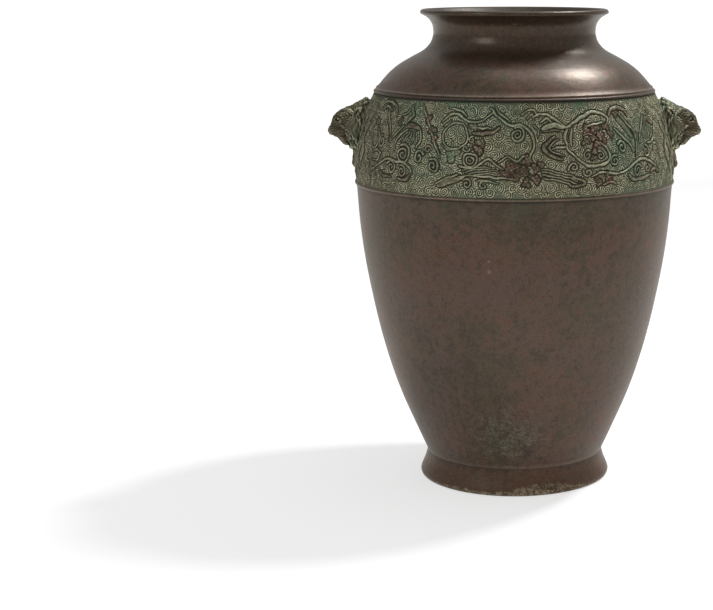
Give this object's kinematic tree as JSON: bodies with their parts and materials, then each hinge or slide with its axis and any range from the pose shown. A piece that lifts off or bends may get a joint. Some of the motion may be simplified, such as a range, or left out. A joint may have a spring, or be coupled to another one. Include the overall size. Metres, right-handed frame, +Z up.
{
  "type": "bronze vase",
  "caption": "Cast bronze shouldered vase with a short flared neck, a sunk shoulder frieze of scrolls and beasts in relief, and lion heads at the sides.",
  "frame": {"origin": "centre of the foot's underside, on the surface it stands on", "axes": "+Z up along the vase's turning axis, -Y towards the front of the frieze, the lion heads look along +X and -X"},
  "size_m": [0.2142, 0.1836, 0.27],
  "materials": {
    "bronze": "dark brown patinated cast bronze with verdigris in the frieze"
  },
  "bodies": {
    "root": {"vase_body": "bronze", "lion_head_right": "bronze", "lion_head_left": "bronze"}
  },
  "joints": []
}
